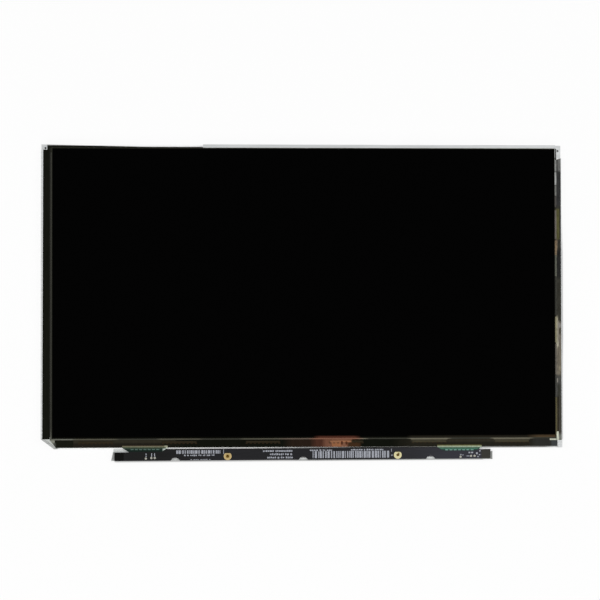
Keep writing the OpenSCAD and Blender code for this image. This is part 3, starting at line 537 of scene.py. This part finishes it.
def milky_film(base):
    """Milky polyester film: smooth, soft sheen, slightly wavy where it is stuck."""
    material, tree, shader, place = start("polyester_film_milky", base, 0.35)
    left, right, foot, top = edges("board_film")
    shown = lay_patches(tree, place, base, (
        # its free left end stands in the board's shade
        ("8E8F8E", (left - 1, left + 2.3), (foot - 1, foot + 5.2), 0.3),
        # its foot is painted darker as the board's shade
        ("A8AAA8", (left - 1, right), (foot - 1, foot + 0.7), 0.4),
        # its right end is cut thin; beside the flex its top carries a painted highlight
        ("8E908D", (right - 1.1, right + 1), (foot - 1, top - 2), 0.1),
        ("FFFFFF", (103, right), (top - 2, top + 1), (2, 0.3)),
    ))
    weather(tree, shader, place, shown, 6.0, (1, 1, 1), 0.04, None, 0.04)
    return material


def amber_film(name, base):
    """Polyimide film: clear amber over wide copper tracks along X."""
    material, tree, shader, place = start(name, base, 0.28)
    # tracks of 0.4 mm, drawn 0.8 mm wide
    weather(tree, shader, place, base, 0.8, (40, 1, 1), 0.25, (0.22, 0.34))
    return material


def light_diode(base):
    """White moulded diode package with a yellow phosphor window towards the guide."""
    material, tree, shader, place = start(
        "polyamide_white_phosphor", base, 0.45, Specular_IOR_Level=0.4)
    face = edges("backlight_leds")[3]
    shown = lay_patches(tree, place, base, (("E6CF4E", None, (face - 0.2, face - 0.1), 0.01),))
    weather(tree, shader, place, shown, 0.3, (1, 1, 1), 0.04, (0.4, 0.55))
    return material


def moulded_epoxy(name, base):
    """Moulded epoxy package: matt black with a fine even grain."""
    material, tree, shader, place = start(name, base, 0.55, Specular_IOR_Level=0.4)
    weather(tree, shader, place, base, 0.12, (1, 1, 1), 0.2, (0.48, 0.62), 0.01)
    return material


def fired_ceramic(base):
    """Ceramic block, fired: tan, slightly speckled, with a dull glaze."""
    material, tree, shader, place = start("ceramic_fired", base, 0.4, Specular_IOR_Level=0.4)
    weather(tree, shader, place, base, 0.2, (1, 1, 1), 0.15, (0.34, 0.5))
    return material


def pressed_ferrite(base):
    """Pressed ferrite shield: dull dark grey with a sandy skin."""
    material, tree, shader, place = start("ferrite_pressed", base, 0.6, Specular_IOR_Level=0.3)
    weather(tree, shader, place, base, 0.15, (1, 1, 1), 0.25, None, 0.02)
    return material


def matt_label(base):
    """Plain polyester label: matt white, a little uneven from its glue."""
    material, tree, shader, place = start(
        "polyester_label_matt", base, 0.55, Specular_IOR_Level=0.4)
    weather(tree, shader, place, base, 0.6, (3, 1, 1), 0.03, (0.5, 0.6), 0.01)
    return material


def printed_ink(base):
    """Screen-printed epoxy ink: chalky, thin at its edges."""
    material, tree, shader, place = start("epoxy_ink_printed", base, 0.6, Specular_IOR_Level=0.2)
    weather(tree, shader, place, base, 0.5, (1, 1, 1), 0.25, (0.5, 0.7))
    return material


# New pieces -----------------------------------------------------------------

def board_place():
    """The board's own frame: the middle of its top edge, from its two ringed holes."""
    low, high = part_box("hole_rings")
    ring = Vector((RING_R, RING_R, 0)) * MM
    one = Vector((low.x, low.y, 0)) + ring
    two = Vector((high.x, high.y, 0)) - ring
    along = (two - one).normalized()
    up = Vector((-along.y, along.x, 0))
    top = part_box("control_board")[1].z
    origin = one + along * RING_ASIDE * MM + up * RING_DROP * MM
    return Matrix((
        (along.x, up.x, 0, origin.x),
        (along.y, up.y, 0, origin.y),
        (0, 0, 1, top),
        (0, 0, 0, 1),
    ))


def put_tile(mesh, place, x, y, w, h, t):
    """One thin tile, its middle at x and y, sunk a little into what carries it."""
    sink = t * 0.3
    body = Matrix.Translation(Vector((x, y, 0)) * MM + Vector((0, 0, t / 2 - sink)))
    size = Matrix.Diagonal((w * MM, h * MM, t, 1))
    bmesh.ops.create_cube(mesh, size=1.0, matrix=place @ body @ size)


def finish_piece(name, mesh, material):
    """Makes the piece, on the one body, from a finished bmesh."""
    data = bpy.data.meshes.new(name)
    bmesh.ops.recalc_face_normals(mesh, faces=mesh.faces)
    mesh.to_mesh(data)
    mesh.free()
    data.materials.append(material)
    piece = bpy.data.objects.new(name, data)
    bpy.context.scene.collection.objects.link(piece)
    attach(piece, "root")
    return piece


def bar_field(mesh, place, rng, x0, x1, y0, y1, t):
    """A field of upright bars with random widths, which say nothing."""
    x = x0
    while x < x1 - 0.5:
        w = rng.choice(BAR_WIDTHS)
        put_tile(mesh, place, x + w / 2, (y0 + y1) / 2, w, y1 - y0, t)
        x += w + rng.choice(BAR_GAPS)


def dash_row(mesh, place, rng, x0, x1, y, h, t):
    """A row of short dashes where the real board has words."""
    x = x0
    while x < x1 - 0.4:
        w = rng.uniform(0.5, 1.1)
        put_tile(mesh, place, x + w / 2, y + rng.uniform(-0.08, 0.08),
                 w, h * rng.uniform(0.7, 1.0), t)
        x += w + rng.choice(DASH_GAPS)


# Operators ------------------------------------------------------------------

class PANEL_OT_cover(bpy.types.Operator):
    """Finishes the formed steel cover and the plain label on its back."""

    bl_idname = "panel.cover"
    bl_label = "Cover"

    def execute(self, context):
        colours, _, _ = settings()
        wear(["rear_cover"], galvanised_steel(tuple(colours.steel)))
        wear(["rear_label"], matt_label(linear("EEEEEC")))
        return {"FINISHED"}


class PANEL_OT_display(bpy.types.Operator):
    """Finishes the polarisers and the two glass plates."""

    bl_idname = "panel.display"
    bl_label = "Display"

    def execute(self, context):
        colours, _, _ = settings()
        wear(["front_polariser", "rear_polariser"], hard_coated_polariser(tuple(colours.screen)))
        wear(["filter_glass"], upper_glass(tuple(colours.glass)))
        wear(["array_glass"], ledge_glass(tuple(colours.ledge), tuple(colours.glass_edge_highlight)))
        return {"FINISHED"}


class PANEL_OT_backlight(bpy.types.Operator):
    """Finishes the moulded frame, the light guide, its sheets and the light row."""

    bl_idname = "panel.backlight"
    bl_label = "Backlight"

    def execute(self, context):
        colours, _, _ = settings()
        left, _, foot, top = edges("panel_frame")
        rim, corner = edges("array_glass")[0], edges("array_glass")[2]
        # the frame's edge in the gap beside the glass is painted dark as shade, its corner silvery
        wear(["panel_frame"], moulded_polycarbonate(
            "polycarbonate_white_moulded", tuple(colours.frame), 0.4, (
                ("22221E", (left - 1, rim + 0.1), (corner + 6, top + 1), 0.1),
                ("B9BCB8", (left - 1, rim + 5), (foot - 1, corner + 6), 0.3),
            )))
        wear(["reflector_sheet"], clear_sheet("polyester_mirror_film", linear("F4F4F4"), 0.15))
        wear(["light_guide"], clear_sheet("acrylic_polished", linear("DCE6EA"), 0.08))
        wear(["lower_diffuser", "upper_diffuser"],
             clear_sheet("polyester_milky", linear("F2F2F0"), 0.5))
        wear(["prism_sheet_lower", "prism_sheet_upper"],
             clear_sheet("acrylic_prism_grooved", linear("E4EAEC"), 0.25, 0.4, 0.02))
        wear(["led_flex"], amber_film("polyimide_amber", tuple(colours.amber)))
        wear(["backlight_leds"], light_diode(linear("EFEFE9")))
        return {"FINISHED"}


class PANEL_OT_tapes(bpy.types.Operator):
    """Finishes the black tapes round the glass."""

    bl_idname = "panel.tapes"
    bl_label = "Tapes"

    def execute(self, context):
        colours, _, _ = settings()
        wear(["left_edge_tape", "top_edge_tape", "rim_tape"], polyester_tape(tuple(colours.tape)))
        wear(["right_edge_tape"],
             reflecting_tape(tuple(colours.tape_grey_reflections), tuple(colours.glass_edge_highlight)))
        return {"FINISHED"}


class PANEL_OT_ledge(bpy.types.Operator):
    """Finishes the drivers and flexes, and adds the small marks below each driver."""

    bl_idname = "panel.ledge"
    bl_label = "Ledge"

    def lit_end(self, node):
        """Patches for the right end of a flex where it catches the light."""
        _, right, _, top = edges(node)
        return (
            ("8C8D78", (right - 1.6, right + 1), (top - 0.9, top), (0.6, 0.2)),
            ("B4BAAA", (right - 0.7, right + 1), (top - 2.1, top - 0.9), (0.5, 0.2)),
            ("B2BDB7", (right - 2.3, right + 1), (top - 3.6, top - 1.9), (0.9, 0.3)),
        )

    def execute(self, context):
        colours, sizes, _ = settings()
        wear(["source_drivers"], silicon_die(linear("2A2418")))
        pitch = sizes.tooth_pitch / MM
        film = tuple(colours.flex)
        wear(["flex_left"], green_flex("polyimide_left_green", "flex_left", film, (
            ("524736", 0.0, 0.3), ("6C6A57", 0.3, 0.9), ("4A5240", 0.9, 1.45),
            ("223228", 1.45, 2.05),
        ), ("4E665D", 2.1, 2.45), pitch, self.lit_end("flex_left")))
        wear(["flex_right"], green_flex("polyimide_right_green", "flex_right", film, (
            ("484528", 0.0, 0.55), ("84886C", 0.55, 1.15), ("98A892", 1.15, 1.6),
            ("3C5848", 1.6, 2.3), ("3E6857", 2.3, 2.9), ("2A3A34", 2.9, 4.2),
        ), ("6E9488", 2.95, 3.35), pitch))
        foot = edges("source_drivers")[2]
        mesh = bmesh.new()
        place = Matrix.Translation((0, 0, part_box("array_glass")[1].z))
        for middle in driver_middles():
            for k in range(-MARKS_ASIDE, MARKS_ASIDE + 1):
                x = middle + k * sizes.mark_pitch / MM
                put_tile(mesh, place, x, foot - MARK_DROP, MARK_W, MARK_H, MARK_T * MM)
        copper = plated("copper_tarnished", linear("35291D"), 0.45)
        finish_piece("ledge_marks", mesh, copper)
        return {"FINISHED"}


class PANEL_OT_board(bpy.types.Operator):
    """Finishes the board, its rings and pads, and the film behind it."""

    bl_idname = "panel.board"
    bl_label = "Board"

    def execute(self, context):
        colours, _, _ = settings()
        wear(["control_board"], solder_mask(tuple(colours.board)))
        gold = tuple(colours.gold)
        left, right, foot, top = edges("hole_rings")
        one, two = (left + RING_R, foot + RING_R), (right - RING_R, top - RING_R)
        # the right ring is the brighter one, the lip of each hole is painted dark as shade inside
        # it, and both are darker along their upper edge
        wear(["hole_rings"], plated("gold_on_copper_plated", gold, 0.35, (
            ("B89E60", (one[0] - 1.0, one[0] + 1.0), (one[1] - 1.0, one[1] + 1.0), 0.3),
            ("F1E8B5", (two[0] - RING_R, right), None, 0.1),
            ("948456", (two[0] + 0.1, two[0] + 0.9), (two[1] - 0.3, two[1] + 1.2), 0.3),
            ("3A3424", (left, one[0] + RING_R), (one[1] + 1.8, one[1] + RING_R), 0.15),
            ("5A5440", (two[0] - RING_R, right), (two[1] + 1.8, two[1] + RING_R), 0.15),
        )))
        wear(["connector_contacts"], plated("gold_on_nickel_plated", gold, 0.35))
        wear(["test_pads"], plated("tin_on_copper_plated", tuple(colours.tin), 0.4))
        wear(["board_film"], milky_film(tuple(colours.film)))
        return {"FINISHED"}


class PANEL_OT_board_print(bpy.types.Operator):
    """Adds the generic print on the board: bars, rows of dashes and small marks."""

    bl_idname = "panel.board_print"
    bl_label = "Board print"

    def execute(self, context):
        colours, sizes, _ = settings()
        rng = random.Random(sizes.seed)
        place = board_place()
        t = sizes.ink_height
        mesh = bmesh.new()
        # places on the board run from the middle of its top edge
        bar_field(mesh, place, rng, -74.3, -47.5, -2.8, -0.8, t)
        dash_row(mesh, place, rng, -69.8, -51.4, -3.75, 0.9, t)
        dash_row(mesh, place, rng, -66.0, -54.0, -6.2, 0.4, t)
        put_tile(mesh, place, -46.65, -1.7, 0.3, 2.8, t)
        for x0, y in ((-23.6, -1.6), (-19.5, -3.5), (-21.1, -5.4)):
            dash_row(mesh, place, rng, x0, -6.5, y, 1.1, t)
        bar_field(mesh, place, rng, 5.6, 50.9, -5.9, -1.9, t)
        dash_row(mesh, place, rng, 4.0, 18.1, -1.3, 0.9, t)
        dash_row(mesh, place, rng, 28.1, 47.6, -1.2, 1.0, t)
        # single marks: middle x, middle y, width, height
        for x, y, w, h in (
            (52.0, -1.6, 0.3, 1.8), (52.2, -4.5, 0.7, 0.7),
            (-91.95, -2.9, 0.6, 0.8), (-91.95, -4.1, 0.6, 0.6),
            (-88.75, -3.35, 0.5, 1.9), (-87.0, -3.35, 0.5, 1.9),
            (98.0, -3.3, 1.0, 0.8), (99.6, -3.3, 1.2, 0.8), (102.4, -3.8, 1.0, 1.1),
            (104.2, -2.4, 0.8, 0.7), (104.0, -4.6, 0.9, 0.5), (97.2, -5.3, 1.8, 0.4),
            (103.1, -5.7, 0.9, 0.6), (92.9, -4.4, 1.0, 0.5), (94.2, -4.7, 0.7, 0.4),
        ):
            put_tile(mesh, place, x, y, w, h, t)
        finish_piece("board_print", mesh, printed_ink(tuple(colours.ink)))
        return {"FINISHED"}


class PANEL_OT_rear_parts(bpy.types.Operator):
    """Finishes the sockets and chips on the board's rear."""

    bl_idname = "panel.rear_parts"
    bl_label = "Rear parts"

    def execute(self, context):
        wear(["connector_housing", "led_connector"],
             moulded_polycarbonate("liquid_crystal_polymer_ivory", linear("E2D9C4"), 0.2))
        wear(["connector_shell"], plated("tin_on_steel_pressed", linear("C6C8CA"), 0.3))
        wear(["timing_controller", "backlight_driver", "power_chips", "memory_chip", "diodes"],
             moulded_epoxy("epoxy_moulded_black", linear("1C1C1C")))
        wear(["inductors"], pressed_ferrite(linear("403E3B")))
        wear(["capacitors"], fired_ceramic(linear("9A7B57")))
        wear(["resistors"], moulded_epoxy("epoxy_glazed_black", linear("232326")))
        return {"FINISHED"}


class PANEL_OT_studio(bpy.types.Operator):
    """Adds the pale floor, the soft lamps, the plain sky and the camera."""

    bl_idname = "panel.studio"
    bl_label = "Studio"

    def execute(self, context):
        _, _, studio = settings()
        scene = context.scene
        scene.view_settings.view_transform = "Standard"
        self.lay_floor(tuple(studio.floor))
        for place in LAMP_PLACES:
            self.hang_lamp(place, LAMP_SIDE, studio.lamp_power)
        self.fill_sky(studio.sky)
        lens = bpy.data.cameras.new("photo_camera")
        lens.lens = studio.lens
        lens.sensor_width = SENSOR_W
        lens.sensor_fit = "HORIZONTAL"
        camera = bpy.data.objects.new("photo_camera", lens)
        camera.location = studio.camera_place
        camera.rotation_euler = studio.camera_turn
        scene.collection.objects.link(camera)
        scene.camera = camera
        return {"FINISHED"}

    def lay_floor(self, base):
        """A plain floor that shows white to the eye and keeps a soft shadow.

        Below the panel it lies in the shade, which the holes of the ears and the board show.
        """
        mesh = bmesh.new()
        bmesh.ops.create_grid(mesh, x_segments=1, y_segments=1, size=FLOOR_HALF)
        bmesh.ops.translate(mesh, verts=mesh.verts, vec=(0, 0, -FLOOR_DROP * MM))
        data = bpy.data.meshes.new("floor")
        mesh.to_mesh(data)
        mesh.free()
        material = bpy.data.materials.new("floor_pale")
        material.use_nodes = True
        tree = material.node_tree
        tree.nodes.clear()
        white = add(tree, "Emission", {"Color": (1, 1, 1, 1), "Strength": 1.0})
        path = add(tree, "LightPath")
        place = in_millimetres(tree)
        left, right, foot, top = edges("rear_cover")
        low, high = edges("control_board")[2:]
        # the cut corner stays out of the shade
        shade = [("000000", *spans, 0.01) for spans in (
            ((left + 10, right - 0.4), (foot + 0.4, top - 0.4)),
            ((left + 0.4, left + 10), (foot + 7, top - 0.4)),
            (BOARD_SPAN, (low + 0.4, high)),
        )]
        # painted shadow: the floor is dim close to the board's foot, which is slightly turned
        turn = board_place()
        beside = add(tree, "Mapping", {
            "Vector": place, "Location": turn.to_translation() / MM, "Rotation": turn.to_euler(),
        }, vector_type="TEXTURE").outputs[0]
        lit = lay_patches(tree, beside, (FLOOR_WHITE,) * 3 + (1.0,), [
            ("A8A8A8", FOOT_SPAN, (-7.4, -7.0), (1.0, 0.6))])
        # and painted shadow a little beside the cover, most along the lower part of its right side
        dim = (
            ("8C8C8C", (right - 2, right + 0.6), (-84, -20), (0.7, 2)),
            ("8C8C8C", (right - 2, right + 0.8), (-24, 25), (0.9, 25)),
            ("A8A8A8", (left + 11, -108), (foot + 0.2, foot + 1), (1.0, 0.6)),
        )
        lit = lay_patches(tree, place, lit, [*dim, *shade])
        # the painted shadows darken the floor's own colour as well
        tints = [("909090", *spans) for _, *spans in dim]
        # the ears keep the light from what shows through their holes
        tints += [("6A6C6A", span, (top - 5, top), 0.01)
                  for span in ((left, left + 4), (right - 4, right))]
        # painted warm light from the gold of the two rings, on the floor seen through their holes
        left, right, foot, top = edges("hole_rings")
        tints += [("A97C24", (left, left + 2 * RING_R), (foot, top), 0.01),
                  ("D0AC60", (right - 2 * RING_R, right), (foot, top), 0.01)]
        tint = lay_patches(tree, place, base, tints)
        # the painted shadow below the board's foot darkens the floor's own colour as well
        tint = lay_patches(tree, beside, tint, [
            ("909090", FOOT_SPAN, (-7.6, -7.0), (1.0, 0.4))])
        matt = add(tree, "BsdfDiffuse", {"Color": tint})
        seen = add(tree, "Math", {0: path.outputs["Is Camera Ray"], 1: lit}, operation="MULTIPLY")
        mixed = add(tree, "MixShader", {
            0: seen.outputs[0], 1: matt.outputs[0], 2: white.outputs[0]})
        add(tree, "OutputMaterial", {0: mixed.outputs[0]})
        data.materials.append(material)
        floor = bpy.data.objects.new("floor", data)
        bpy.context.scene.collection.objects.link(floor)

    def hang_lamp(self, place, size, power):
        """A square soft lamp that faces the panel."""
        light = bpy.data.lights.new("soft_lamp", "AREA")
        light.shape = "SQUARE"
        light.size = size
        light.energy = power
        lamp = bpy.data.objects.new("soft_lamp", light)
        lamp.location = place
        lamp.rotation_euler = (-Vector(place)).to_track_quat("-Z", "Y").to_euler()
        bpy.context.scene.collection.objects.link(lamp)

    def fill_sky(self, strength):
        """White all round, dimmer overhead in reflections, and an even soft light."""
        world = bpy.data.worlds.new("plain_sky")
        world.use_nodes = True
        bpy.context.scene.world = world
        tree = world.node_tree
        tree.nodes.clear()
        toward = add(tree, "TexCoord").outputs["Generated"]
        height = add(tree, "SeparateXYZ", {0: toward}).outputs[2]
        # full strength up to about 50 degrees above the floor, and six tenths of it overhead
        shade = add(tree, "MapRange", {0: height, 1: 0.75, 2: 0.96, 3: 1.0, 4: 0.6},
                    interpolation_type="SMOOTHSTEP").outputs[0]
        shown = add(tree, "Background", {"Color": (1, 1, 1, 1), "Strength": shade})
        light = add(tree, "Background", {"Color": (1, 1, 1, 1), "Strength": strength})
        ray = add(tree, "LightPath").outputs
        seen = add(tree, "Math", {0: ray["Is Camera Ray"], 1: ray["Is Glossy Ray"]},
                   operation="MAXIMUM")
        seen = add(tree, "Math", {0: seen.outputs[0], 1: ray["Is Transmission Ray"]},
                   operation="MAXIMUM")
        mixed = add(tree, "MixShader", {
            0: seen.outputs[0], 1: light.outputs[0], 2: shown.outputs[0]})
        add(tree, "OutputWorld", {0: mixed.outputs[0]})


STEPS = (
    PANEL_OT_cover, PANEL_OT_display, PANEL_OT_backlight, PANEL_OT_tapes, PANEL_OT_ledge,
    PANEL_OT_board, PANEL_OT_board_print, PANEL_OT_rear_parts, PANEL_OT_studio,
)


class PANEL_PT_finish(bpy.types.Panel):
    """Lists the settings and the steps in the sidebar."""

    bl_label = "Screen panel"
    bl_idname = "PANEL_PT_finish"
    bl_space_type = "VIEW_3D"
    bl_region_type = "UI"
    bl_category = "Screen panel"

    def draw(self, context):
        for group in settings():
            box = self.layout.box()
            for name in group.__annotations__:
                box.prop(group, name)
        for step in STEPS:
            self.layout.operator(step.bl_idname)


CLASSES = (PanelColours, PrintSizes, StudioSettings) + STEPS + (PANEL_PT_finish,)


def register():
    """Registers the classes and the settings."""
    for one in CLASSES:
        bpy.utils.register_class(one)
    bpy.types.Scene.panel_colours = bpy.props.PointerProperty(type=PanelColours)
    bpy.types.Scene.panel_print = bpy.props.PointerProperty(type=PrintSizes)
    bpy.types.Scene.panel_studio = bpy.props.PointerProperty(type=StudioSettings)


def unregister():
    """Takes the settings and the classes away again."""
    del bpy.types.Scene.panel_colours
    del bpy.types.Scene.panel_print
    del bpy.types.Scene.panel_studio
    for one in reversed(CLASSES):
        bpy.utils.unregister_class(one)


def main():
    """Registers the classes and runs the steps in order."""
    register()
    for step in STEPS:
        group, name = step.bl_idname.split(".")
        getattr(getattr(bpy.ops, group), name)()


if __name__ == "__main__":
    main()
